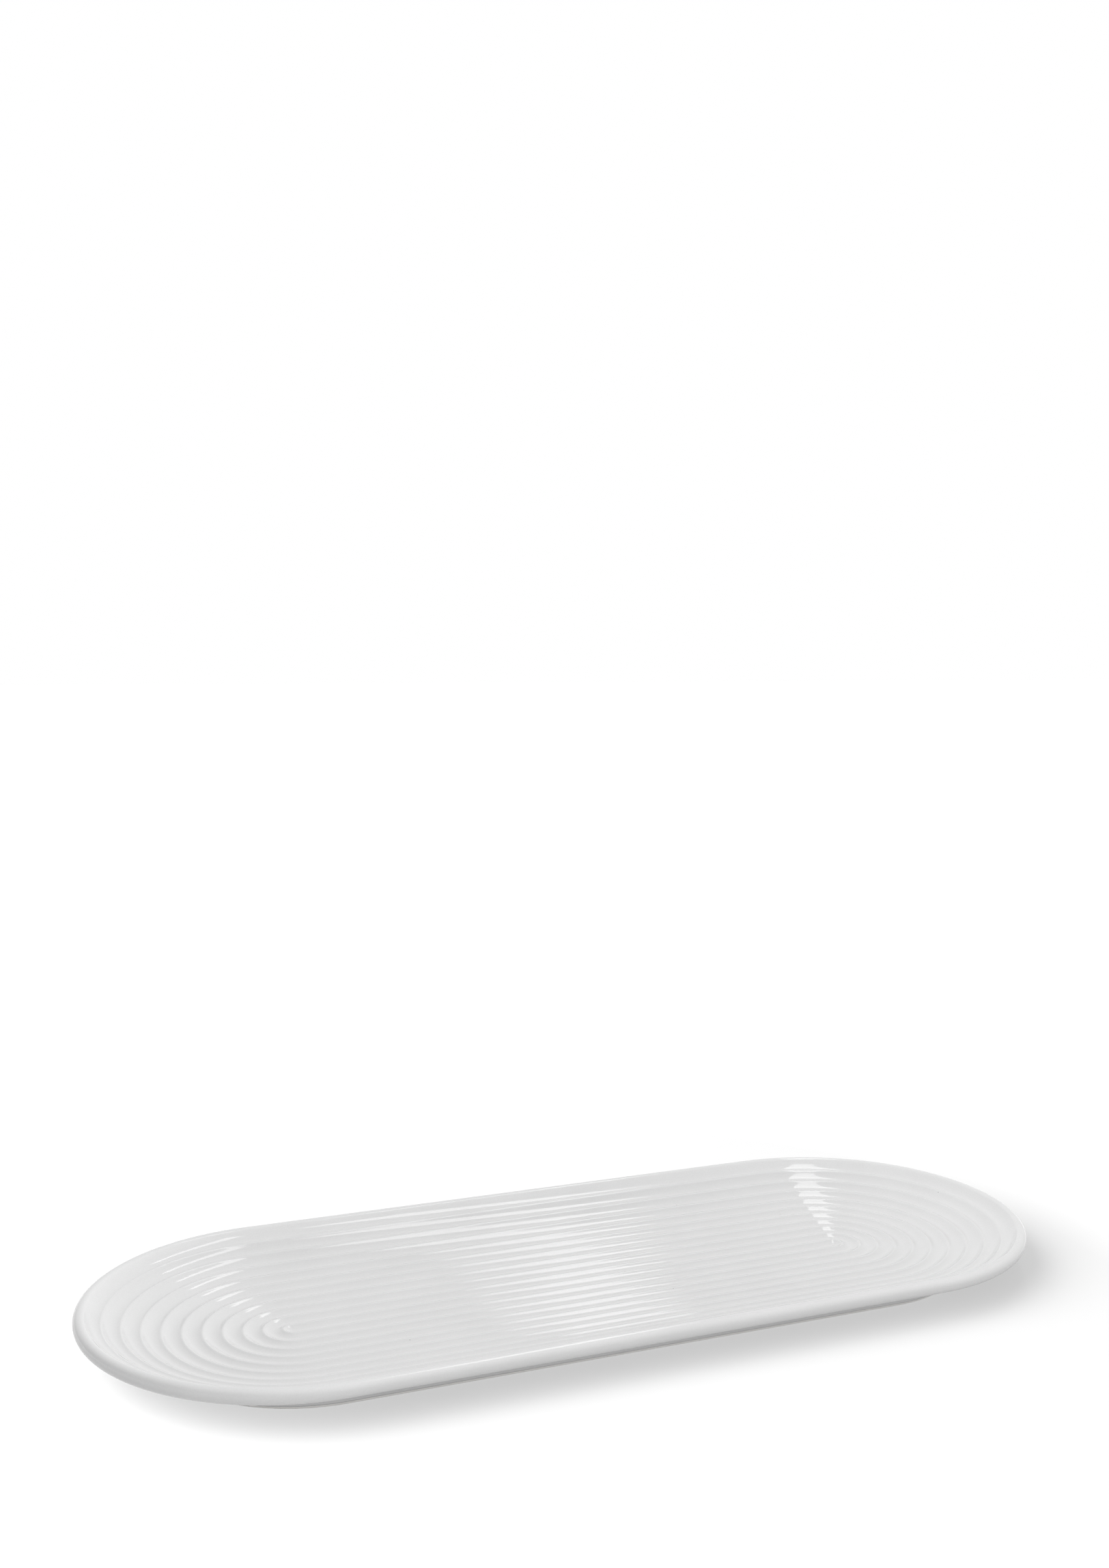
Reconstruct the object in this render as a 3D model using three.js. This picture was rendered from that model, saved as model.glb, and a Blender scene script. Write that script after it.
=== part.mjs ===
// Oval serving platter in glazed porcelain.
// One moulded body carries concentric ribs on its upper face and a foot ring below.
// A coat of glaze covers it everywhere except on the ring that it stands on.
// Millimetres, +Z up. The origin is on the table, under the middle of the platter.
import * as THREE from 'three';
import { mergeVertices } from 'three/addons/utils/BufferGeometryUtils.js';

// Plan: a straight centre line with a half circle at each end
const SPINE_LENGTH = 208;
const HALF_WIDTH = 70;

// Upper face: crest heights are measured on the finished, glazed surface.
// The dish depth is from the line of the crests at the centre up to the top of the rim.
const CENTRE_HEIGHT = 5.1;
const DISH_DEPTH = 11.2;
const FLOOR_RISE = 5.2;
const WALL_RISE = 5.6;
const WALL_START = 38;

// Ribs: the pitch is measured along the rising face
const RIB_PITCH = 6.53;
const FLUTE_DEPTH = 0.95;

// Rolled rim: a tight upper roll, a fuller one below it, then a sloping underside
const RIM_ROLL = 2.25;
const RIM_UNDERCUT = 3.0;
const UNDERSIDE_SLOPE = THREE.MathUtils.degToRad(25);

// Foot ring and the recessed base inside it; the ring's two ends stand further in than its sides
const FOOT_RADIUS = 49;
const FOOT_WIDTH = 4.4;
const FOOT_END_INSET = 4.5;
const FOOT_DRAFT = THREE.MathUtils.degToRad(10);
const FOOT_BARE_HEIGHT = 0.9;
const FOOT_BEVEL = 0.4;
const FLOOR_THICKNESS = 3.8;

// Glaze, and the seam between it and the body
const GLAZE_THICKNESS = 0.35;
const GLAZE_SEAM = 0.1;

// Facets
const ROUND_STEPS = 36;
const FLUTE_STEPS = 4;
const ROLL_STEP = THREE.MathUtils.degToRad(24);
const BASE_STEPS = 4;
const MEASURING_STEP = 0.01;

const rimCrestRadius = HALF_WIDTH - RIM_ROLL;
const rimCrestHeight = CENTRE_HEIGHT + DISH_DEPTH;
const rollHeight = rimCrestHeight - RIM_ROLL;

// A point of the section: its radius, its height and how far the two ends are drawn in there
const point = (r, z, drawnIn = 0) => new THREE.Vector3(r, z, drawnIn);

// Height of the line through the rib crests: a shallow bowl, then a steeper wall outside it
function crestHeight(r) {
  const bowl = (r / rimCrestRadius) ** 2;
  const wall = (Math.max(0, r - WALL_START) / (rimCrestRadius - WALL_START)) ** 2;
  return CENTRE_HEIGHT + FLOOR_RISE * bowl + WALL_RISE * wall;
}

// Radii of the rib crests, spaced evenly along the rising face. The innermost is half a pitch from
// the centre line, which is the middle of a flute. The rim is the crest after the outermost.
function ribRadii() {
  const radii = [];
  let along = 0;
  for (let r = 0; r < rimCrestRadius - RIB_PITCH / 2; r += MEASURING_STEP) {
    if (along >= RIB_PITCH * (radii.length + 1 / 2)) radii.push(r);
    along += Math.hypot(MEASURING_STEP, crestHeight(r + MEASURING_STEP) - crestHeight(r));
  }
  return radii;
}

// Points on an arc about a centre; angles count from straight up, outwards and down
function arc(centre, radius, from, to) {
  const steps = Math.max(2, Math.ceil((to - from) / ROLL_STEP));
  const points = [];
  for (let i = 0; i <= steps; i += 1) {
    const angle = from + ((to - from) * i) / steps;
    points.push(point(centre.x + radius * Math.sin(angle), centre.y + radius * Math.cos(angle)));
  }
  return points;
}

// Concave flutes between sharp crests, from the middle of the central flute out to the rim.
// The central flute lies between the innermost rib and its mirror image across the centre line.
function flutedFace(ribs, rimStart) {
  const crests = [-ribs[0], ...ribs].map((r) => point(r, crestHeight(Math.abs(r))));
  crests.push(rimStart);
  const points = [];
  for (let i = 0; i + 1 < crests.length; i += 1) {
    for (let step = 0; step < FLUTE_STEPS; step += 1) {
      const t = step / FLUTE_STEPS;
      const along = crests[i].clone().lerp(crests[i + 1], t);
      points.push(point(along.x, along.y - FLUTE_DEPTH * 4 * t * (1 - t)));
    }
  }
  return points.filter((p) => p.x >= 0);
}

// Finished outside, from the central flute over the rim and down to where the foot is left bare
function coatedOutside() {
  const ribs = ribRadii();
  const lastRib = ribs[ribs.length - 1];
  const wallSlope = Math.atan2(
    rimCrestHeight - crestHeight(lastRib),
    rimCrestRadius - lastRib,
  );
  const upperRoll = arc(point(rimCrestRadius, rollHeight), RIM_ROLL, -wallSlope, Math.PI / 2);
  const lowerRoll = arc(
    point(HALF_WIDTH - RIM_UNDERCUT, rollHeight),
    RIM_UNDERCUT,
    Math.PI / 2,
    Math.PI - UNDERSIDE_SLOPE,
  );
  const rimEnd = lowerRoll[lowerRoll.length - 1];
  const drop = Math.tan(UNDERSIDE_SLOPE);
  const draft = Math.tan(FOOT_DRAFT);
  const footTop = (rimEnd.y - drop * (rimEnd.x - FOOT_RADIUS)) / (1 - drop * draft);
  return [
    ...flutedFace(ribs, upperRoll[0]),
    ...upperRoll,
    ...lowerRoll.slice(1),
    point(FOOT_RADIUS + draft * footTop, footTop, FOOT_END_INSET),
    point(FOOT_RADIUS + draft * FOOT_BARE_HEIGHT, FOOT_BARE_HEIGHT, FOOT_END_INSET),
  ];
}

// Finished underside of the floor, from the bare part of the foot in to the centre line
function coatedBase() {
  const inner = FOOT_RADIUS - FOOT_WIDTH;
  const draft = Math.tan(FOOT_DRAFT);
  const baseHeight = (r) => crestHeight(0) - FLOOR_THICKNESS + FLOOR_RISE * (r / rimCrestRadius) ** 2;
  const baseEdge = inner - draft * baseHeight(inner);
  const points = [point(inner - draft * FOOT_BARE_HEIGHT, FOOT_BARE_HEIGHT, FOOT_END_INSET)];
  for (let i = 0; i <= BASE_STEPS; i += 1) {
    const r = baseEdge * (1 - i / BASE_STEPS);
    points.push(point(r, baseHeight(r), FOOT_END_INSET));
  }
  return points;
}

// The same outline moved into the material by a depth, square to its faces
function inset(points, depth) {
  return points.map((here, i) => {
    const onAxis = here.x === 0;
    const before = points[i - 1] ?? (onAxis ? point(-points[i + 1].x, points[i + 1].y) : null);
    const after = points[i + 1] ?? (onAxis ? point(-before.x, before.y) : null);
    const normals = [before && here.clone().sub(before), after && after.clone().sub(here)]
      .filter(Boolean)
      .map((edge) => point(edge.y, -edge.x).normalize());
    const mitre = normals.length > 1 ? normals[0].clone().add(normals[1]).normalize() : normals[0];
    const moved = here.clone().addScaledVector(mitre, depth / mitre.dot(normals[0]));
    return onAxis ? point(0, moved.y, here.z) : moved;
  });
}

// A round turned from a section, split along its middle and drawn apart to the oval's length.
// The facets lie on the outside of the round, so the straight sides keep their true width.
function ovalFromSection(section) {
  const facet = (2 * Math.PI) / ROUND_STEPS;
  const reach = 1 / Math.cos(facet / 2);
  const turned = section.map((p) => point(p.x * reach, p.y, p.z)).reverse();
  const geometry = new THREE.LatheGeometry(turned, ROUND_STEPS, facet / 2);
  geometry.deleteAttribute('normal');
  geometry.deleteAttribute('uv');
  const position = geometry.getAttribute('position');
  for (let i = 0; i < position.count; i += 1) {
    const column = Math.floor(i / section.length) % ROUND_STEPS;
    const side = column < ROUND_STEPS / 2 ? 1 : -1;
    const { z: drawnIn } = turned[i % section.length];
    position.setX(i, position.getX(i) + side * (SPINE_LENGTH / 2 - drawnIn));
  }
  geometry.rotateX(Math.PI / 2);
  return withoutSlivers(mergeVertices(geometry));
}

// Faces that shrink to a line where the section meets its axis are left out
function withoutSlivers(geometry) {
  const corners = geometry.getIndex().array;
  const kept = [];
  for (let i = 0; i < corners.length; i += 3) {
    const [a, b, c] = corners.slice(i, i + 3);
    if (a !== b && b !== c && c !== a) kept.push(a, b, c);
  }
  geometry.setIndex(kept);
  geometry.computeVertexNormals();
  return geometry;
}

function piece(name, section, look) {
  const mesh = new THREE.Mesh(ovalFromSection(section), new THREE.MeshStandardMaterial(look));
  mesh.name = name;
  return mesh;
}

const outside = coatedOutside();
const base = coatedBase();
const bodyDepth = GLAZE_THICKNESS + GLAZE_SEAM;

// Fired body: bare only on the foot ring, whose two edges are bevelled
function porcelainBody() {
  const outer = inset(outside, bodyDepth);
  const inner = inset(base, bodyDepth);
  const footOuter = outer[outer.length - 1].x;
  const footInner = inner[0].x;
  const foot = [
    point(footOuter, FOOT_BEVEL, FOOT_END_INSET),
    point(footOuter - FOOT_BEVEL, 0, FOOT_END_INSET),
    point(footInner + FOOT_BEVEL, 0, FOOT_END_INSET),
    point(footInner, FOOT_BEVEL, FOOT_END_INSET),
  ];
  const section = [...outer, ...foot, ...inner];
  return piece('porcelain_body', section, { color: 0xe6e4df, roughness: 0.75, metalness: 0 });
}

// Glaze over the ribbed face, the rim and the outside down to the foot
function glazeCoat() {
  const section = [...outside, ...inset(outside, GLAZE_THICKNESS).reverse()];
  return piece('glaze_coat', section, { color: 0xe9e9e8, roughness: 0.12, metalness: 0 });
}

// Glaze over the base inside the foot ring
function baseGlaze() {
  const section = [...inset(base, GLAZE_THICKNESS).reverse(), ...base];
  return piece('base_glaze', section, { color: 0xe7e7e6, roughness: 0.16, metalness: 0 });
}

const platter = new THREE.Group();
platter.add(porcelainBody(), glazeCoat(), baseGlaze());
export default platter;
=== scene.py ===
# %% [markdown]
# # An oval ribbed platter
# The platter is one piece of white porcelain: a long oval dish with concentric ribs on its face, a
# rolled rim and a low foot ring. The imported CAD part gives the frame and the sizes. This script lays
# a finer model over it, with soft rib crests, a small fillet above the foot and a coat of glaze that
# stops just above the table.

# %% Load the frame
import math

import bpy
from mathutils import Matrix, Vector


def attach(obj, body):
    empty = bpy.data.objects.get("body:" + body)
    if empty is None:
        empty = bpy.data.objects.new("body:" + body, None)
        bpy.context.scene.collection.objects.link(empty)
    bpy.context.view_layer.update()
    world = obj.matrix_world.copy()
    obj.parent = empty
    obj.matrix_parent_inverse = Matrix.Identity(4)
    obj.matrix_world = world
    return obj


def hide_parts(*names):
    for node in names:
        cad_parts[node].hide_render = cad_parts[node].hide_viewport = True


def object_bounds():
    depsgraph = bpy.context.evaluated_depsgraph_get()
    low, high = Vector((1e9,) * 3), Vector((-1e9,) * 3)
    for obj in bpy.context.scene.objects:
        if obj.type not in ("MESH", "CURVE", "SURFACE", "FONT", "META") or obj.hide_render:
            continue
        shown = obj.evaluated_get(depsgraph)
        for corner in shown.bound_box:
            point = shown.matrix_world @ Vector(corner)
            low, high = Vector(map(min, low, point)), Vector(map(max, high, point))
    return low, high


MM = 0.001
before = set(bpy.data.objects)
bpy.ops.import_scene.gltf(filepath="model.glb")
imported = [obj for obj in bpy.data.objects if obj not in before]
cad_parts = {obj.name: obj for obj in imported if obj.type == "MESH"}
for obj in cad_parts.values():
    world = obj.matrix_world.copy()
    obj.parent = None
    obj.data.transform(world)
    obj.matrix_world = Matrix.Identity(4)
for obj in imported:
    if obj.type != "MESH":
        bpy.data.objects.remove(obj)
cad_low, cad_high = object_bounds()
print("CAD box in mm:", [round(side / MM, 2) for side in cad_high - cad_low])

# %% [markdown]
# ## Sizes
# The overall sizes come from the frame, so the model can't drift away from the CAD part. The others
# are the sizes of the ribs, the rim, the foot and the glaze. They could be typed in where they are
# used, but under a name each one can be changed in one place. Blender works in metres, hence the MM.

# %% Sizes
HALF_WIDTH = cad_high.y
SPINE_LENGTH = 2 * (cad_high.x - cad_high.y)
RIM_TOP = cad_high.z

# Upper face
CENTRE_HEIGHT = 5.1 * MM
FLOOR_RISE = 5.2 * MM
WALL_RISE = 5.6 * MM
WALL_START = 38 * MM
RIB_PITCH = 6.53 * MM
FLUTE_DEPTH = 0.95 * MM
CREST_SOFTNESS = 0.15

# Rim and underside
RIM_ROLL = 2.25 * MM
RIM_UNDERCUT = 3.0 * MM
UNDERSIDE_SLOPE = math.radians(25)

# Foot ring and base
FOOT_RADIUS = 49 * MM
FOOT_WIDTH = 4.4 * MM
FOOT_END_INSET = 4.5 * MM
FOOT_DRAFT = math.radians(10)
FOOT_BARE_HEIGHT = 0.9 * MM
FOOT_ROUND = 0.4 * MM
FOOT_FILLET = 1.2 * MM
FLOOR_THICKNESS = 3.8 * MM

# Glaze, and the seam between it and the clay
GLAZE_THICKNESS = 0.35 * MM
GLAZE_SEAM = 0.1 * MM

rim_crest = HALF_WIDTH - RIM_ROLL
roll_height = RIM_TOP - RIM_ROLL
print("Half width and spine in mm:", round(HALF_WIDTH / MM, 2), round(SPINE_LENGTH / MM, 2))

# %% [markdown]
# ## The section
# A potter shapes a dish with a template, which is half of its section: from the centre line out over
# the rim and back under to the base. Ours is a list of points. Each has a radius, a height, a count of
# ribs from the centre, a share from 0 to 1 of the flute that is cut there, and how far the ends of the
# oval are drawn in. The dish could be modelled face by face, but one section keeps every ring true.
# It is drawn along the tops of the ribs, and the flutes are cut later, all by one rule.

# %% Points of a section
class SectionPoint:
    def __init__(self, r, z, ribs=0.0, carve=0.0, drawn_in=0.0):
        self.r, self.z, self.ribs, self.carve, self.drawn_in = r, z, ribs, carve, drawn_in


def crest_height(r):
    """Height of the line through the crests: a shallow bowl, then a steeper wall outside it."""
    bowl = (r / rim_crest) ** 2
    wall = (max(0.0, r - WALL_START) / (rim_crest - WALL_START)) ** 2
    return CENTRE_HEIGHT + FLOOR_RISE * bowl + WALL_RISE * wall


def arc(centre_r, centre_z, radius, start, end, steps, drawn_in=0.0):
    """Points about a centre; angles count from straight up, outwards and down."""
    points = []
    for i in range(steps + 1):
        turn = start + (end - start) * i / steps
        r = centre_r + radius * math.sin(turn)
        z = centre_z + radius * math.cos(turn)
        points.append(SectionPoint(r, z, drawn_in=drawn_in))
    return points


print("Crest line in mm: centre", CENTRE_HEIGHT / MM, "wall start", round(crest_height(WALL_START) / MM, 2))

# %% [markdown]
# ## Spacing the ribs
# The ribs are spaced evenly along the face, so on the steeper wall they stand closer together as seen
# from above. Even steps in radius would be simpler, but they would stretch the ribs on the wall. So
# the rising face is walked in small steps, and a rib is set each time a pitch has passed. The first
# comes half a pitch from the centre line, and the rim takes the place of the one after the last.

# %% Ribs, measured along the rising face
MEASURING_STEP = 0.01 * MM


def rib_radii():
    radii, along, r = [], 0.0, 0.0
    while r < rim_crest - RIB_PITCH / 2:
        if along >= RIB_PITCH * (len(radii) + 1 / 2):
            radii.append(r)
        along += math.hypot(MEASURING_STEP, crest_height(r + MEASURING_STEP) - crest_height(r))
        r += MEASURING_STEP
    return radii


rib_rings = rib_radii()
wall_slope = math.atan2(RIM_TOP - crest_height(rib_rings[-1]), rim_crest - rib_rings[-1])
print("Rib radii in mm:", [round(r / MM, 1) for r in rib_rings])
print("Slope of the wall in degrees:", round(math.degrees(wall_slope), 1))

# %% [markdown]
# ## The ribbed face
# On the platter the face is a row of shallow hollows with narrow crests between them. The section only
# runs straight from crest to crest here, and each point carries its count of ribs, so that the node
# tree can cut the hollows. The points crowd towards the crests, where the surface turns fastest.

# %% Ribbed face
FACE_STEPS = 24


def ribbed_face(steps_per_flute):
    rim_r = rim_crest - RIM_ROLL * math.sin(wall_slope)
    rim_z = roll_height + RIM_ROLL * math.cos(wall_slope)
    crests = [(r, crest_height(abs(r))) for r in [-rib_rings[0]] + rib_rings] + [(rim_r, rim_z)]
    face = [SectionPoint(0.0, crest_height(rib_rings[0]), 0.0, 1.0)]
    for count, (start, end) in enumerate(zip(crests, crests[1:])):
        first_step = steps_per_flute // 2 + 1 if count == 0 else 0
        for i in range(first_step, steps_per_flute):
            t = (1 - math.cos(math.pi * i / steps_per_flute)) / 2
            r, z = (a + (b - a) * t for a, b in zip(start, end))
            face.append(SectionPoint(r, z, count - 1 / 2 + t, 1.0))
    return face


print("Face:", len(ribbed_face(FACE_STEPS)), "points for", len(rib_rings), "ribs")

# %% [markdown]
# ## The rolled rim
# The rim is a tight roll above and a fuller one below, which runs on into the sloping underside. A
# Bevel modifier would round a sharp rim by one radius only. Two arcs give each half its own.

# %% Rim
ROLL_STEPS = 14


def rolled_rim(steps):
    upper = arc(rim_crest, roll_height, RIM_ROLL, -wall_slope, math.pi / 2, steps)
    lower = arc(HALF_WIDTH - RIM_UNDERCUT, roll_height, RIM_UNDERCUT,
                math.pi / 2, math.pi - UNDERSIDE_SLOPE, steps)
    return upper + lower[1:]


rim_end = rolled_rim(ROLL_STEPS)[-1]
print("Rim ends in mm at radius", round(rim_end.r / MM, 2), "height", round(rim_end.z / MM, 2))

# %% [markdown]
# ## The outside of the foot
# The underside slopes in to the foot ring, and glaze gathers in the corner between them and softens
# it. A curve that is tangent to both makes that fillet; a Bevel modifier would round other corners as
# well. The last point is where the glaze stops, just above the table. The ring's two ends stand further
# in than its sides, and every point of the ring carries that inset.

# %% Outside of the foot
FILLET_SHARE = 0.7


def foot_outside(fillet_steps):
    drop, draft = math.tan(UNDERSIDE_SLOPE), math.tan(FOOT_DRAFT)
    corner_z = (rim_end.z - drop * (rim_end.r - FOOT_RADIUS)) / (1 - drop * draft)
    corner = Vector((FOOT_RADIUS + draft * corner_z, corner_z))
    along_underside = Vector((math.cos(UNDERSIDE_SLOPE), math.sin(UNDERSIDE_SLOPE)))
    down_foot = Vector((-math.sin(FOOT_DRAFT), -math.cos(FOOT_DRAFT)))
    room = (corner_z - FOOT_BARE_HEIGHT) / math.cos(FOOT_DRAFT)
    reach = min(FOOT_FILLET, FILLET_SHARE * room)
    start, end = corner + along_underside * reach, corner + down_foot * reach
    spots = []
    for i in range(fillet_steps + 1):
        t = i / fillet_steps
        spots.append(start * (1 - t) ** 2 + corner * 2 * t * (1 - t) + end * t ** 2)
    spots.append(Vector((FOOT_RADIUS + draft * FOOT_BARE_HEIGHT, FOOT_BARE_HEIGHT)))
    return [SectionPoint(spot.x, spot.y, drawn_in=FOOT_END_INSET) for spot in spots]


def outside(steps_per_flute, roll_steps):
    return ribbed_face(steps_per_flute) + rolled_rim(roll_steps) + foot_outside(roll_steps)


print("Fillet starts in mm at height", round(foot_outside(ROLL_STEPS)[0].z / MM, 2))

# %% [markdown]
# ## The base
# Inside the foot ring the base is recessed, so that the platter stands on the ring alone. It could be
# flat, but following the bowl of the face it keeps the floor at nearly one thickness, and clay of
# one thickness dries and fires without warping.

# %% Base
BASE_STEPS = 24


def base_height(r):
    return CENTRE_HEIGHT - FLOOR_THICKNESS + FLOOR_RISE * (r / rim_crest) ** 2


def base(steps):
    inner, draft = FOOT_RADIUS - FOOT_WIDTH, math.tan(FOOT_DRAFT)
    edge = inner - draft * base_height(inner)
    radii = [edge * (1 - i / steps) for i in range(steps + 1)]
    points = [(inner - draft * FOOT_BARE_HEIGHT, FOOT_BARE_HEIGHT)]
    points += [(r, base_height(r)) for r in radii]
    return [SectionPoint(r, z, drawn_in=FOOT_END_INSET) for r, z in points]


base_edge = base(BASE_STEPS)[1]
print("Base height in mm: centre", round(base_height(0) / MM, 2), "edge", round(base_edge.z / MM, 2))

# %% [markdown]
# ## Layers
# The glaze has an inner face, and the clay lies under that. Both are the outside moved inwards, square
# to itself. Solidify could do this on a finished mesh. On the section it is one short loop, and each
# point takes its rib count along, so the flutes are cut into every layer alike.

# %% The same section moved into the material
def inset(points, depth):
    moved = []
    for i, here in enumerate(points):
        before, after = points[max(i - 1, 0)], points[min(i + 1, len(points) - 1)]
        along = Vector((after.r - before.r, after.z - before.z)).normalized()
        # A point on the centre line moves straight up or down
        r = 0.0 if here.r == 0 else here.r + along.y * depth
        z = here.z - (math.copysign(depth, along.x) if here.r == 0 else along.x * depth)
        moved.append(SectionPoint(r, z, here.ribs, here.carve, here.drawn_in))
    return moved


under_rim = inset(rolled_rim(ROLL_STEPS), GLAZE_THICKNESS)
print("Inner face of the glaze at the rim in mm:", round(max(p.r for p in under_rim) / MM, 2))

# %% [markdown]
# ## Helpers for node trees
# A node tree is mostly wired by hand in the editor. A script wires the same tree on every run, and a
# few helpers keep its lines short: one makes a node, one feeds a socket with a link or a plain value,
# and the others are sums.

# %% Node helpers
def node(tree, kind, **settings):
    made = tree.nodes.new(kind)
    for key, value in settings.items():
        setattr(made, key, value)
    return made


def feed(tree, socket, value):
    if isinstance(value, bpy.types.NodeSocket):
        tree.links.new(value, socket)
    else:
        socket.default_value = value


def sums(tree, kind, operation, values):
    made = node(tree, kind, operation=operation)
    for socket, value in zip(made.inputs, values):
        feed(tree, socket, value)
    return made.outputs[0]


def calc(tree, operation, *values):
    return sums(tree, "ShaderNodeMath", operation, values)


def whole(tree, operation, *values):
    return sums(tree, "FunctionNodeIntegerMath", operation, values)


def share(tree, value, low, high):
    """0 at low, 1 at high, and level outside them."""
    made = node(tree, "ShaderNodeMapRange", clamp=True)
    feed(tree, made.inputs["Value"], value)
    made.inputs["From Min"].default_value = low
    made.inputs["From Max"].default_value = high
    return made.outputs["Result"]


print("Node helpers ready")

# %% [markdown]
# ## Turned, then drawn apart
# The oval is a round dish that is cut along its middle and drawn apart: two half circles joined by
# straight runs. The Spin tool would make the round alone. A Geometry Nodes tree makes the oval from
# any section: a grid has one row for each section point and one column for each step round the oval,
# and every grid point is moved to its place. Its sizes are named inputs.

# %% Inputs of the tree
TREE_INPUTS = (
    ("Section", "NodeSocketGeometry"),
    ("Spine Length", "NodeSocketFloat"),
    ("Flute Depth", "NodeSocketFloat"),
    ("Crest Softness", "NodeSocketFloat"),
    ("Columns", "NodeSocketInt"),
    ("Finish", "NodeSocketMaterial"),
)


def tree_with_inputs(name):
    tree = bpy.data.node_groups.new(name, "GeometryNodeTree")
    for label, kind in TREE_INPUTS:
        tree.interface.new_socket(label, in_out="INPUT", socket_type=kind)
    tree.interface.new_socket("Oval", in_out="OUTPUT", socket_type="NodeSocketGeometry")
    return tree, node(tree, "NodeGroupInput").outputs


def grid_for(tree, section, columns):
    """A grid with a row for each section point, and the column and row of each grid point."""
    count = node(tree, "GeometryNodeAttributeDomainSize", component="MESH")
    feed(tree, count.inputs["Geometry"], section)
    rows = count.outputs["Point Count"]
    grid = node(tree, "GeometryNodeMeshGrid")
    feed(tree, grid.inputs["Vertices X"], whole(tree, "ADD", columns, 1))
    feed(tree, grid.inputs["Vertices Y"], rows)
    index = node(tree, "GeometryNodeInputIndex").outputs[0]
    column = whole(tree, "DIVIDE_FLOOR", index, rows)
    row = whole(tree, "MODULO", index, rows)
    return grid.outputs["Mesh"], column, row


print("Tree inputs:", [label for label, kind in TREE_INPUTS])

# %% [markdown]
# ## The way round
# The columns of the grid go round the oval: the right end, the front, the left end and the back. Each
# end takes two fifths of the way and each straight side a tenth, because a round needs many columns
# and a straight run few. The angle changes only at the ends, and the place along the spine only on
# the sides.

# %% Angle and place along the spine
ARC_SHARE = 0.4
HALF_WAY = 0.5


def way_round(tree, column, columns, length):
    way = calc(tree, "DIVIDE", column, columns)
    right_end = share(tree, way, 0, ARC_SHARE)
    front = share(tree, way, ARC_SHARE, HALF_WAY)
    left_end = share(tree, way, HALF_WAY, HALF_WAY + ARC_SHARE)
    back = share(tree, way, HALF_WAY + ARC_SHARE, 1)
    turned = calc(tree, "ADD", right_end, left_end)
    angle = calc(tree, "MULTIPLY_ADD", turned, -math.pi, math.pi / 2)
    run = calc(tree, "SUBTRACT", back, front)
    spine = calc(tree, "MULTIPLY", calc(tree, "ADD", run, 1 / 2), length)
    return angle, spine


print("Share of the columns on each end:", ARC_SHARE, "on each side:", round(HALF_WAY - ARC_SHARE, 2))

# %% [markdown]
# ## The rule of the flutes
# The count of ribs says where a point lies between two crests, and from that comes its share of the
# flute's depth. A parabola makes the hollow. A small one the other way up goes over the crest, so that
# the crest is narrow but not sharp, as glaze leaves it. The two meet at the same height and slope.

# %% Share of the flute
def flute_share(tree, ribs, softness):
    """0 on a rib crest, 1 in the middle of a flute."""
    phase = calc(tree, "FRACT", calc(tree, "ADD", ribs, 1 / 2))
    from_middle = calc(tree, "SUBTRACT", calc(tree, "MULTIPLY", phase, 2), 1)
    toward_crest = calc(tree, "ABSOLUTE", from_middle)
    hollow_end = calc(tree, "SUBTRACT", 1, softness)
    fall = calc(tree, "DIVIDE", calc(tree, "POWER", toward_crest, 2), hollow_end)
    hollow = calc(tree, "SUBTRACT", 1, fall)
    from_crest = calc(tree, "SUBTRACT", 1, toward_crest)
    crest = calc(tree, "DIVIDE", calc(tree, "POWER", from_crest, 2), softness)
    pick = node(tree, "ShaderNodeMix", data_type="FLOAT")
    feed(tree, pick.inputs["Factor"], calc(tree, "GREATER_THAN", toward_crest, hollow_end))
    feed(tree, pick.inputs["A"], hollow)
    feed(tree, pick.inputs["B"], crest)
    return pick.outputs["Result"]


print("Crest rounded over in mm:", round(CREST_SOFTNESS * RIB_PITCH / MM, 2))

# %% [markdown]
# ## The tree put together
# Every grid point reads its row of the section, is swung to its angle, moved along the spine and
# lowered by its share of the flute. The seam of the grid is then merged, which closes the shell. The
# tree ends in Realize Instances and Set Material, so that plain geometry with its finish comes out.

# %% Reading the section, and the end of the tree
CARRIED = ("ribs", "carve", "drawn_in")
MERGE_WITHIN = 0.002 * MM


def sampled(tree, section, value, row, kind):
    made = node(tree, "GeometryNodeSampleIndex", data_type=kind, domain="POINT")
    feed(tree, made.inputs["Geometry"], section)
    feed(tree, made.inputs["Value"], value)
    feed(tree, made.inputs["Index"], row)
    return made.outputs["Value"]


def attribute(tree, key):
    made = node(tree, "GeometryNodeInputNamedAttribute", data_type="FLOAT")
    made.inputs["Name"].default_value = key
    return made.outputs["Attribute"]


def end_tree(tree, shape, finish):
    merged = node(tree, "GeometryNodeMergeByDistance")
    feed(tree, merged.inputs["Geometry"], shape)
    merged.inputs["Distance"].default_value = MERGE_WITHIN
    smooth = node(tree, "GeometryNodeSetShadeSmooth")
    feed(tree, smooth.inputs["Geometry"], merged.outputs[0])
    real = node(tree, "GeometryNodeRealizeInstances")
    feed(tree, real.inputs["Geometry"], smooth.outputs[0])
    finished = node(tree, "GeometryNodeSetMaterial")
    feed(tree, finished.inputs["Geometry"], real.outputs[0])
    feed(tree, finished.inputs["Material"], finish)
    feed(tree, node(tree, "NodeGroupOutput").inputs[0], finished.outputs[0])


print("Carried by each section point:", CARRIED)

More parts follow.
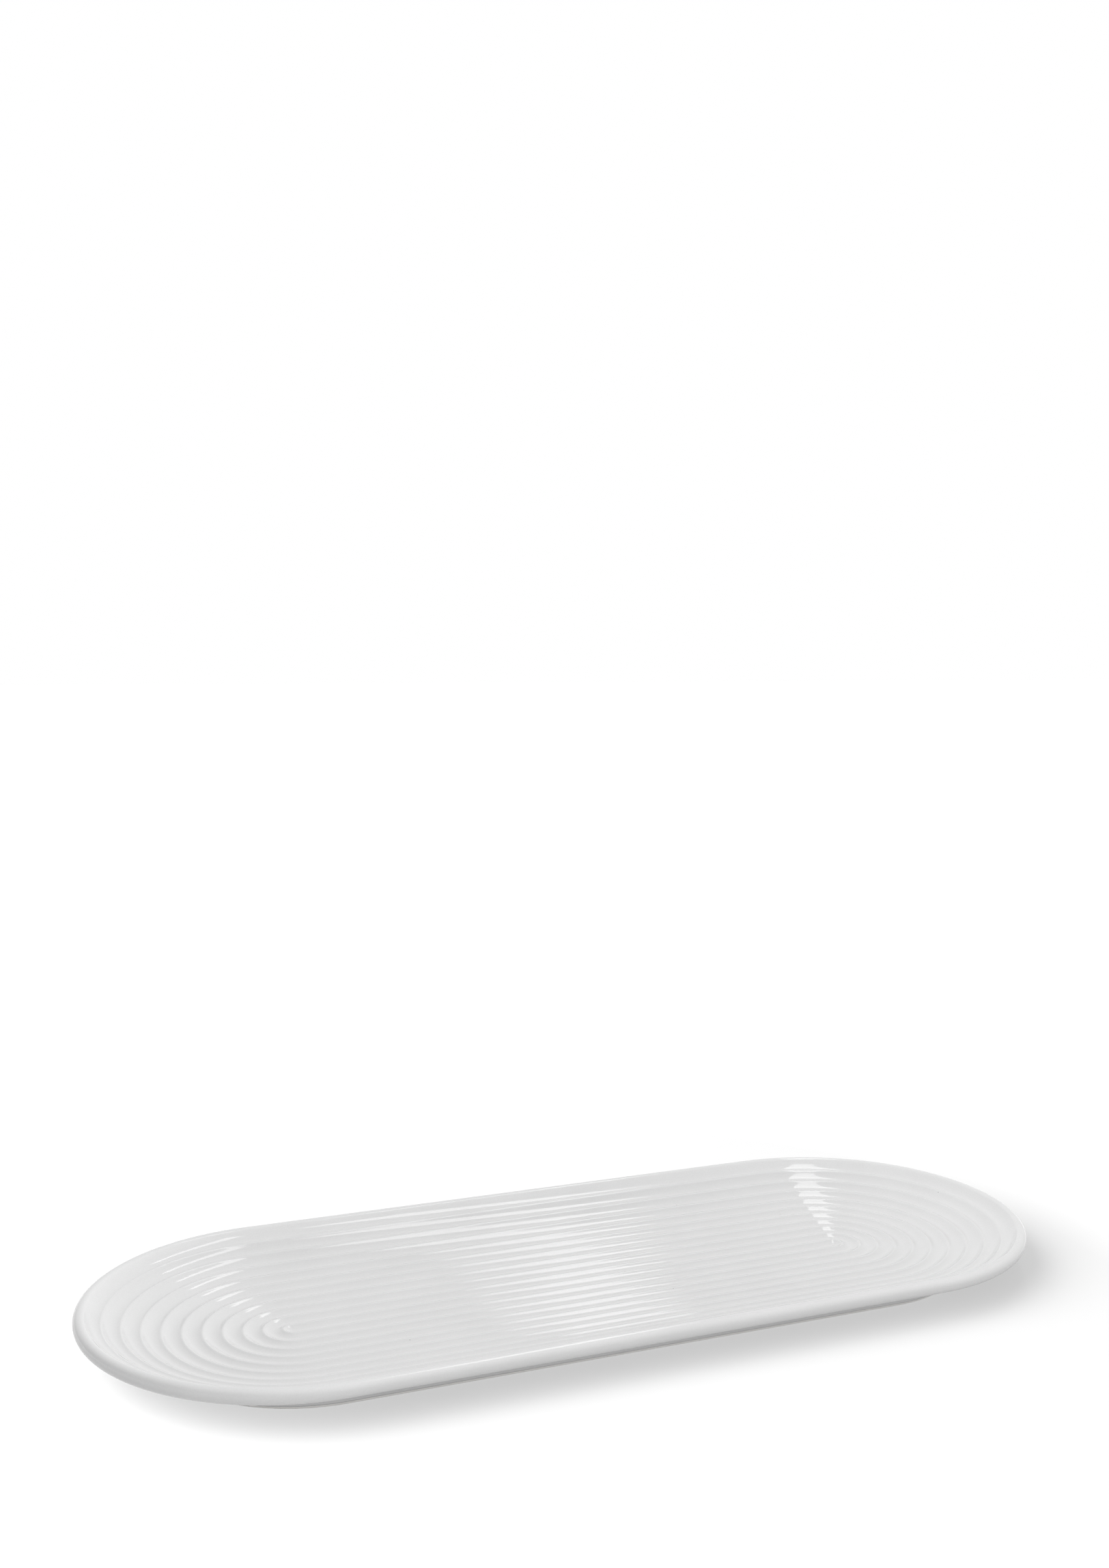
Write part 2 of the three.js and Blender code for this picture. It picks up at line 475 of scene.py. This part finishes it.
# %% Tree: oval from a section
def oval_tree():
    tree, given = tree_with_inputs("oval_from_section")
    section = given["Section"]
    grid, column, row = grid_for(tree, section, given["Columns"])
    ribs, carve, drawn_in = (sampled(tree, section, attribute(tree, key), row, "FLOAT") for key in CARRIED)
    position = node(tree, "GeometryNodeInputPosition").outputs[0]
    place = node(tree, "ShaderNodeSeparateXYZ")
    feed(tree, place.inputs[0], sampled(tree, section, position, row, "FLOAT_VECTOR"))
    radius, height = place.outputs["X"], place.outputs["Z"]

    length = calc(tree, "MULTIPLY_ADD", drawn_in, -2, given["Spine Length"])
    angle, spine = way_round(tree, column, given["Columns"], length)
    carved = calc(tree, "MULTIPLY", flute_share(tree, ribs, given["Crest Softness"]), carve)
    cut = calc(tree, "MULTIPLY", carved, given["Flute Depth"])

    spot = node(tree, "ShaderNodeCombineXYZ")
    feed(tree, spot.inputs["X"], calc(tree, "MULTIPLY_ADD", radius, calc(tree, "COSINE", angle), spine))
    feed(tree, spot.inputs["Y"], calc(tree, "MULTIPLY", radius, calc(tree, "SINE", angle)))
    feed(tree, spot.inputs["Z"], calc(tree, "SUBTRACT", height, cut))
    placed = node(tree, "GeometryNodeSetPosition")
    feed(tree, placed.inputs["Geometry"], grid)
    feed(tree, placed.inputs["Position"], spot.outputs[0])
    end_tree(tree, placed.outputs[0], given["Finish"])
    return tree


oval = oval_tree()
print("Tree:", oval.name, "with", len(oval.nodes), "nodes")

# %% [markdown]
# ## From a section to a piece
# Geometry Nodes read meshes, so a section becomes a helper mesh of points and edges, and what its
# points carry goes along as attributes. The tree runs on it as a modifier, with its inputs set by
# their identifiers. The result is copied as a plain mesh and the helper is deleted, because the
# exported model holds no modifiers.

# %% Section as a helper mesh
def section_object(name, points):
    mesh = bpy.data.meshes.new(name)
    edges = [(i, i + 1) for i in range(len(points) - 1)]
    mesh.from_pydata([(p.r, 0, p.z) for p in points], edges, [])
    for key in CARRIED:
        layer = mesh.attributes.new(key, "FLOAT", "POINT")
        layer.data.foreach_set("value", [getattr(p, key) for p in points])
    section = bpy.data.objects.new(name, mesh)
    bpy.context.collection.objects.link(section)
    print(name, "has", len(points), "points")
    return section


# %% Plain mesh piece
def oval_piece(name, points, finish, columns):
    helper = section_object(name + "_section", points)
    modifier = helper.modifiers.new("oval", "NODES")
    modifier.node_group = oval
    values = {"Spine Length": SPINE_LENGTH, "Flute Depth": FLUTE_DEPTH,
              "Crest Softness": CREST_SOFTNESS, "Columns": columns, "Finish": finish}
    for item in oval.interface.items_tree:
        if item.in_out == "INPUT" and item.name in values:
            modifier[item.identifier] = values[item.name]
    shaped = helper.evaluated_get(bpy.context.evaluated_depsgraph_get())
    piece = bpy.data.objects.new(name, bpy.data.meshes.new_from_object(shaped))
    bpy.context.collection.objects.link(piece)
    bpy.data.objects.remove(helper)
    piece.data.name = name
    top = max(vertex.co.z for vertex in piece.data.vertices)
    print(name, len(piece.data.polygons), "faces, top in mm at", round(top / MM, 2))
    return piece


# %% [markdown]
# ## Helpers for finishes
# Both finishes of the platter are built from a few nodes: noise for unevenness, a blend of two colours
# and a bump. Image textures could do this too, but procedural noise needs no file and has no seam.
# It reads Object coordinates, which are metres on the real platter.

# %% Finish helpers
SOFT_NOISE = 0.5


def material(name):
    made = bpy.data.materials.new(name)
    made.use_nodes = True
    tree = made.node_tree
    return made, tree, tree.nodes["Principled BSDF"], node(tree, "ShaderNodeTexCoord").outputs["Object"]


def noise(tree, where, size, detail, rough=SOFT_NOISE):
    made = node(tree, "ShaderNodeTexNoise")
    feed(tree, made.inputs["Vector"], where)
    made.inputs["Scale"].default_value = 1 / size
    made.inputs["Detail"].default_value = detail
    made.inputs["Roughness"].default_value = rough
    return made.outputs["Fac"]


def blend_colour(tree, factor, first, second):
    made = node(tree, "ShaderNodeMix", data_type="RGBA")
    feed(tree, made.inputs["Factor"], factor)
    feed(tree, made.inputs["A"], first)
    feed(tree, made.inputs["B"], second)
    return made.outputs["Result"]


def raise_surface(tree, shader, height, strength, distance):
    bump = node(tree, "ShaderNodeBump")
    bump.inputs["Strength"].default_value = strength
    bump.inputs["Distance"].default_value = distance
    feed(tree, bump.inputs["Height"], height)
    feed(tree, shader.inputs["Normal"], bump.outputs[0])


print("Finish helpers ready")

# %% [markdown]
# ## Glaze
# The glaze is glass over white clay: a pale, even white with a sharp gloss. Close up its surface rolls
# very slightly, as the skin of an orange does, and here and there a bubble left a tiny grey pinhole
# when it burst in the kiln. The glass could be clear over a white body, but a layer this thin looks
# the same as a white gloss and renders with less noise.

# %% Colour of the glaze
GLAZE_WHITE = (0.82, 0.82, 0.82, 1)
UNDER_WHITE = (0.81, 0.81, 0.81, 1)
GLAZE_THIN = (0.765, 0.765, 0.765, 1)
CLOUD_SIZE = 22 * MM
CLOUD_DETAIL = 3
CLOUD_SPAN = (0.35, 0.75)
GRAIN_SIZE = 0.5 * MM
GRAIN_DETAIL = 1
GRAIN_SPAN = (0.25, 0.75)
GRAIN_SHARE = 0.6


def glaze_tint(tree, where, white):
    cloud = share(tree, noise(tree, where, CLOUD_SIZE, CLOUD_DETAIL), *CLOUD_SPAN)
    grain = share(tree, noise(tree, where, GRAIN_SIZE, GRAIN_DETAIL), *GRAIN_SPAN)
    clouded = calc(tree, "MULTIPLY", cloud, 1 - GRAIN_SHARE)
    uneven = calc(tree, "MULTIPLY_ADD", grain, GRAIN_SHARE, clouded)
    return blend_colour(tree, uneven, white, GLAZE_THIN)


print("Glaze from", GLAZE_WHITE[0], "where it is full to", GLAZE_THIN[0], "where it is thin")

# %% Pinholes
PINHOLE_GREY = (0.48, 0.47, 0.46, 1)
PINHOLE_SPACING = 9 * MM
PINHOLE_RADIUS = 0.22 * MM
PINHOLE_SHARE = 0.2


def pinholes(tree, where):
    """1 inside a pinhole, 0 elsewhere. Only a share of the cells has one."""
    cells = node(tree, "ShaderNodeTexVoronoi", feature="F1")
    feed(tree, cells.inputs["Vector"], where)
    cells.inputs["Scale"].default_value = 1 / PINHOLE_SPACING
    dot = calc(tree, "LESS_THAN", cells.outputs["Distance"], PINHOLE_RADIUS / PINHOLE_SPACING)
    chance = node(tree, "ShaderNodeSeparateColor")
    feed(tree, chance.inputs[0], cells.outputs["Color"])
    some = calc(tree, "LESS_THAN", chance.outputs[0], PINHOLE_SHARE)
    return calc(tree, "MULTIPLY", dot, some)


print("Pinholes in mm: radius", PINHOLE_RADIUS / MM, "in cells of", PINHOLE_SPACING / MM)

# %% Glaze material
GLAZE_ROUGHNESS = 0.015
GLAZE_IOR = 1.52
ROLL_SIZE = 2.4 * MM
ROLL_DETAIL = 1
ROLL_HEIGHT = 0.1 * MM
ROLL_STRENGTH = 0.015


def glaze_material(name, white):
    made, tree, shader, where = material(name)
    tint = glaze_tint(tree, where, white)
    colour = blend_colour(tree, pinholes(tree, where), tint, PINHOLE_GREY)
    feed(tree, shader.inputs["Base Color"], colour)
    shader.inputs["Roughness"].default_value = GLAZE_ROUGHNESS
    shader.inputs["IOR"].default_value = GLAZE_IOR
    raise_surface(tree, shader, noise(tree, where, ROLL_SIZE, ROLL_DETAIL), ROLL_STRENGTH, ROLL_HEIGHT)
    return made


glaze = glaze_material("white_glaze", GLAZE_WHITE)
base_white = glaze_material("white_glaze_under", UNDER_WHITE)
print("Finishes:", glaze.name, "and", base_white.name)

# %% [markdown]
# ## Bare clay
# The foot ring is wiped clean before firing, so that the platter doesn't stick to the kiln shelf. What
# is left bare is matt, a little warmer than the glaze, and finely grained. One flat colour would look
# like plastic, so two kinds of noise darken it: fine grain, and wider patches where it shows.

# %% Bisque material
BISQUE_PALE = (0.82, 0.81, 0.785, 1)
BISQUE_DARK = (0.72, 0.705, 0.675, 1)
BISQUE_ROUGHNESS = 0.78
CLAY_GRAIN_SIZE = 0.7 * MM
CLAY_GRAIN_DETAIL = 4
CLAY_GRAIN_HARSH = 0.7
CLAY_GRAIN_SPAN = (0.45, 0.8)
PATCH_SIZE = 14 * MM
PATCH_DETAIL = 3
PATCH_SPAN = (0.3, 0.8)
CLAY_HEIGHT = 0.08 * MM
CLAY_STRENGTH = 0.35


def bisque_material():
    made, tree, shader, where = material("bare_bisque")
    grain = noise(tree, where, CLAY_GRAIN_SIZE, CLAY_GRAIN_DETAIL, CLAY_GRAIN_HARSH)
    patch = noise(tree, where, PATCH_SIZE, PATCH_DETAIL)
    speck = calc(tree, "MULTIPLY", share(tree, grain, *CLAY_GRAIN_SPAN), share(tree, patch, *PATCH_SPAN))
    feed(tree, shader.inputs["Base Color"], blend_colour(tree, speck, BISQUE_PALE, BISQUE_DARK))
    shader.inputs["Roughness"].default_value = BISQUE_ROUGHNESS
    raise_surface(tree, shader, grain, CLAY_STRENGTH, CLAY_HEIGHT)
    return made


bisque = bisque_material()
print("Finish:", bisque.name)

# %% [markdown]
# ## The coat of glaze
# The coat is a closed shell: the finished outside, a thin flat edge above the bare foot, and the face
# that sits on the clay. Its flutes are cut into both faces, so the coat keeps its thickness. A single
# sheet would look the same from above, but its edge at the foot would show no thickness. The hidden
# face has fewer steps, because nobody sees it.

# %% Glaze coat
HIDDEN_STEPS = 6
COLUMNS = 240


def under_the_outside(depth):
    return inset(outside(HIDDEN_STEPS, ROLL_STEPS // 2), depth)


coat_outside = outside(FACE_STEPS, ROLL_STEPS)
coat_inside = under_the_outside(GLAZE_THICKNESS)
coat = oval_piece("glaze_coat_fine", coat_outside + coat_inside[::-1], glaze, COLUMNS)

# %% [markdown]
# ## The glaze of the base
# Inside the foot ring the base has a coat of its own, because the wiped ring parts it from the rest.
# It is made in the same way, from the section of the base and the same section moved up.

# %% Base glaze
base_outside = base(BASE_STEPS)
base_inside = inset(base_outside, GLAZE_THICKNESS)
base_coat = oval_piece("base_glaze_fine", base_inside[::-1] + base_outside, base_white, COLUMNS)

# %% [markdown]
# ## The clay body
# Under the glaze lies the fired clay, and only its foot ring shows. The body could be left out where
# the glaze hides it, but then the part would be hollow. A hairline seam keeps clay and glaze apart,
# since two faces in one place would flicker. The ring's edges are sponged round.

# %% Body under the glaze, bare on the foot ring
FOOT_RING_STEPS = 4


def foot_ring(outer_r, inner_r, steps):
    half, three_quarters = math.pi, 3 * math.pi / 2
    outer = arc(outer_r - FOOT_ROUND, FOOT_ROUND, FOOT_ROUND, math.pi / 2, half, steps, FOOT_END_INSET)
    inner = arc(inner_r + FOOT_ROUND, FOOT_ROUND, FOOT_ROUND, half, three_quarters, steps, FOOT_END_INSET)
    return outer + inner


body_depth = GLAZE_THICKNESS + GLAZE_SEAM
body_top = under_the_outside(body_depth)
body_under = inset(base_outside, body_depth)
ring = foot_ring(body_top[-1].r, body_under[0].r, FOOT_RING_STEPS)
body = oval_piece("porcelain_body_fine", body_top + ring + body_under, bisque, COLUMNS)

# %% [markdown]
# ## Joining the frame
# Each fine piece stands for one CAD node, and all of them ride on the one body of the part, because
# nothing in a fired platter moves.

# %% Ties to the frame
for piece, cad_node, slot in ((coat, "glaze_coat", "glaze"), (body, "porcelain_body", "bisque"),
                              (base_coat, "base_glaze", "glaze_under")):
    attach(piece, "root")
    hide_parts(cad_node)
    print(piece.name, "replaces", cad_node, "in slot", slot)

# %% [markdown]
# ## Table
# In a product picture the table is white and still takes the shadow. White paper would throw much
# light up under the rim, which is dark there on the real platter. So this paper is grey, with a glow
# that only the camera, the gloss and clear things see. The glow grows to full white away from the
# platter, and for the light that bounces back to the platter the paper is darker still.

# %% Paper of the table
PAPER_SEEN = (0.22, 0.22, 0.22, 1)
PAPER_BOUNCING = (0.14, 0.14, 0.14, 1)
PAPER_GLOW = 0.51
GLOW_NEAR = 0.2
GLOW_FAR = 0.36


def paper_material():
    made, tree, shader, where = material("white_table")
    tree.nodes.remove(shader)
    rays = node(tree, "ShaderNodeLightPath").outputs
    mirrored = calc(tree, "MAXIMUM", rays["Is Glossy Ray"], rays["Is Transmission Ray"])
    seen = calc(tree, "MAXIMUM", rays["Is Camera Ray"], mirrored)
    paper = node(tree, "ShaderNodeBsdfDiffuse")
    feed(tree, paper.inputs["Color"], blend_colour(tree, seen, PAPER_BOUNCING, PAPER_SEEN))
    distance = node(tree, "ShaderNodeVectorMath", operation="LENGTH")
    feed(tree, distance.inputs[0], where)
    far = share(tree, distance.outputs["Value"], GLOW_NEAR, GLOW_FAR)
    level = calc(tree, "MULTIPLY_ADD", far, 1 - PAPER_GLOW, PAPER_GLOW)
    glow = node(tree, "ShaderNodeEmission")
    feed(tree, glow.inputs["Strength"], calc(tree, "MULTIPLY", seen, level))
    both = node(tree, "ShaderNodeAddShader")
    feed(tree, both.inputs[0], paper.outputs[0])
    feed(tree, both.inputs[1], glow.outputs[0])
    feed(tree, tree.nodes["Material Output"].inputs["Surface"], both.outputs[0])
    return made


paper = paper_material()
print("Paper:", paper.name, "seen white from", GLOW_FAR, "m out")

# %% Table
TABLE_HALF = 6.0
CORNERS = ((-1, -1), (1, -1), (1, 1), (-1, 1))
sheet = bpy.data.meshes.new("table")
sheet.from_pydata([(x * TABLE_HALF, y * TABLE_HALF, 0) for x, y in CORNERS], [], [range(len(CORNERS))])
sheet.materials.append(paper)
table = bpy.data.objects.new("table", sheet)
bpy.context.collection.objects.link(table)
print("Table of", 2 * TABLE_HALF, "m")

# %% [markdown]
# ## Surroundings
# In a studio a white object stands among white walls and reflectors. These could be modelled as big
# panels, but an even white World does their work. It is fully white where the camera or the gloss
# sees it, and dimmer as a light, which leaves the lamps something to shape.

# %% World
SKY_WHITE = (1, 1, 1, 1)
SKY_LEVEL = 0.56
scene = bpy.context.scene
scene.view_settings.view_transform = "Standard"
world = bpy.data.worlds.new("white_surround")
world.use_nodes = True
scene.world = world
sky_tree = world.node_tree
sky = sky_tree.nodes["Background"]
sky.inputs["Color"].default_value = SKY_WHITE
sky_rays = node(sky_tree, "ShaderNodeLightPath").outputs
sky_seen = calc(sky_tree, "MAXIMUM", sky_rays["Is Camera Ray"], sky_rays["Is Glossy Ray"])
feed(sky_tree, sky.inputs["Strength"], calc(sky_tree, "MULTIPLY_ADD", sky_seen, 1 - SKY_LEVEL, SKY_LEVEL))
print("World lights at", SKY_LEVEL)

# %% [markdown]
# ## Placing lamps
# Every lamp is placed by its position and either aimed at a point or turned about the vertical. A
# studio screens a lamp off with black card where it should not fall. Light linking does that without
# any card in the picture: a lamp shines on chosen objects only.

# %% Lamp helpers
platter = (coat, body, base_coat)


def area_light(name, shape, size, size_y=0.0):
    light = bpy.data.lights.new(name, "AREA")
    light.shape = shape
    light.size = size
    if size_y:
        light.size_y = size_y
    return light


def add_lamp(light, energy, place, aim=None, turn=0.0):
    light.energy = energy
    lamp = bpy.data.objects.new(light.name, light)
    lamp.location = place
    if aim:
        lamp.rotation_euler = (Vector(aim) - lamp.location).to_track_quat("-Z", "Y").to_euler()
    else:
        lamp.rotation_euler = (0, 0, turn)
    bpy.context.collection.objects.link(lamp)
    print(light.name, energy, "W at", place)
    return lamp


def light_only(lamp, pieces):
    lit = bpy.data.collections.new(lamp.name + "_lights")
    for piece in pieces:
        lit.objects.link(piece)
    lamp.light_linking.receiver_collection = lit


# %% [markdown]
# ## The lamp in the glaze
# One long lamp hangs about a metre above the platter, slanting across it. Each hollow flute mirrors it
# as a bright streak, so its length, width and slant decide where the streaks begin and end. Painted
# streaks would stay put when the camera moves. A mirrored lamp wanders over the ribs as a real one does.

# %% Strip lamp
STRIP_LENGTH = 0.89
STRIP_WIDTH = 0.138
STRIP_ENERGY = 1.27
STRIP_PLACE = (0.373, 0.177, 1.007)
STRIP_TURN = math.radians(68.7)
strip_light = area_light("strip_lamp", "RECTANGLE", STRIP_LENGTH, STRIP_WIDTH)
add_lamp(strip_light, STRIP_ENERGY, STRIP_PLACE, turn=STRIP_TURN)

# %% [markdown]
# ## Light across the ribs
# White on white needs light from the side to show its relief. Two spots cross over the platter, each
# aimed at the far end, so that every rib there has one lit and one shaded flank. One lamp from one
# side would leave the other end flat. The gloss doesn't mirror them.

# %% Crossed lamps
CROSSED_RADIUS = 0.12
CROSSED_BLEND = 1.0
# Name, watts, place, aim and cone
CROSSED_LAMPS = (
    ("left_end_lamp", 13.7, (0.45, 0, 0.7), (-0.4, 0, 0), math.radians(48)),
    ("right_end_lamp", 11.0, (-0.15, 0, 0.8), (0.45, 0, 0), math.radians(60)),
)
for name, energy, place, aim, cone in CROSSED_LAMPS:
    spot_light = bpy.data.lights.new(name, "SPOT")
    spot_light.spot_size = cone
    spot_light.spot_blend = CROSSED_BLEND
    spot_light.shadow_soft_size = CROSSED_RADIUS
    spot = add_lamp(spot_light, energy, place, aim)
    spot.visible_glossy = False
    light_only(spot, platter)

# %% [markdown]
# ## Shadow on the table
# The shadow is densest in front of the platter and past its right end, so a broad, soft lamp stands to
# the left. It lights the table alone. A shadow from the platter's own lamps would fall elsewhere and
# with a harder edge.

# %% Table lamp
TABLE_LAMP_SIZE = 3.4
TABLE_LAMP_ENERGY = 410
TABLE_LAMP_PLACE = (-2.559, -0.451, 1.5)
TABLE_LAMP_AIM = (0, 0, 0)
table_light = area_light("table_lamp", "DISK", TABLE_LAMP_SIZE)
table_lamp = add_lamp(table_light, TABLE_LAMP_ENERGY, TABLE_LAMP_PLACE, TABLE_LAMP_AIM)
table_lamp.visible_glossy = False
light_only(table_lamp, (table,))

# %% [markdown]
# ## Light under the rim
# The outside of the rim and the foot face the viewer, and the lamps above leave them dark. A strip in
# front lifts them. It stands so low that the near rim shades most of the ribs from it. The bare foot
# lies deepest, so a second, weaker strip in the same place lights the clay alone.

# %% Front lamps
FRONT_LENGTH = 1.0
FRONT_WIDTH = 0.03
FRONT_PLACE = (0, -0.6, 0.02)
FRONT_AIM = (0, 0, 0.01)
# Name, watts and what it lights
FRONT_LAMPS = (("front_lamp", 1.2, platter), ("foot_lamp", 0.45, (body,)))
for name, energy, pieces in FRONT_LAMPS:
    front_light = area_light(name, "RECTANGLE", FRONT_LENGTH, FRONT_WIDTH)
    front_lamp = add_lamp(front_light, energy, FRONT_PLACE, FRONT_AIM)
    front_lamp.visible_glossy = False
    front_lamp.visible_camera = False
    light_only(front_lamp, pieces)

# %% [markdown]
# ## Camera
# The camera stands low in front of the platter and to its left, and looks a little down. A Track To
# constraint could aim it, but it would hold the camera level, and this view leans by half a degree.
# So its place and its three turns are multiplied into one matrix.

# %% Camera
CAMERA_PLACE = (-236.94 * MM, -524.84 * MM, 235.88 * MM)
CAMERA_TURN = math.radians(23.17)
CAMERA_DOWN = math.radians(5.35)
CAMERA_ROLL = math.radians(0.51)
CAMERA_LENS = 38.635
CAMERA_SENSOR = 36
view = bpy.data.cameras.new("camera")
view.lens = CAMERA_LENS
view.sensor_width = CAMERA_SENSOR
camera = bpy.data.objects.new("camera", view)
camera.matrix_world = (Matrix.Translation(CAMERA_PLACE)
                       @ Matrix.Rotation(-CAMERA_TURN, 4, "Z")
                       @ Matrix.Rotation(math.pi / 2 - CAMERA_DOWN, 4, "X")
                       @ Matrix.Rotation(CAMERA_ROLL, 4, "Z"))
bpy.context.collection.objects.link(camera)
scene.camera = camera
print("Camera with a lens of", CAMERA_LENS, "mm at", CAMERA_PLACE)
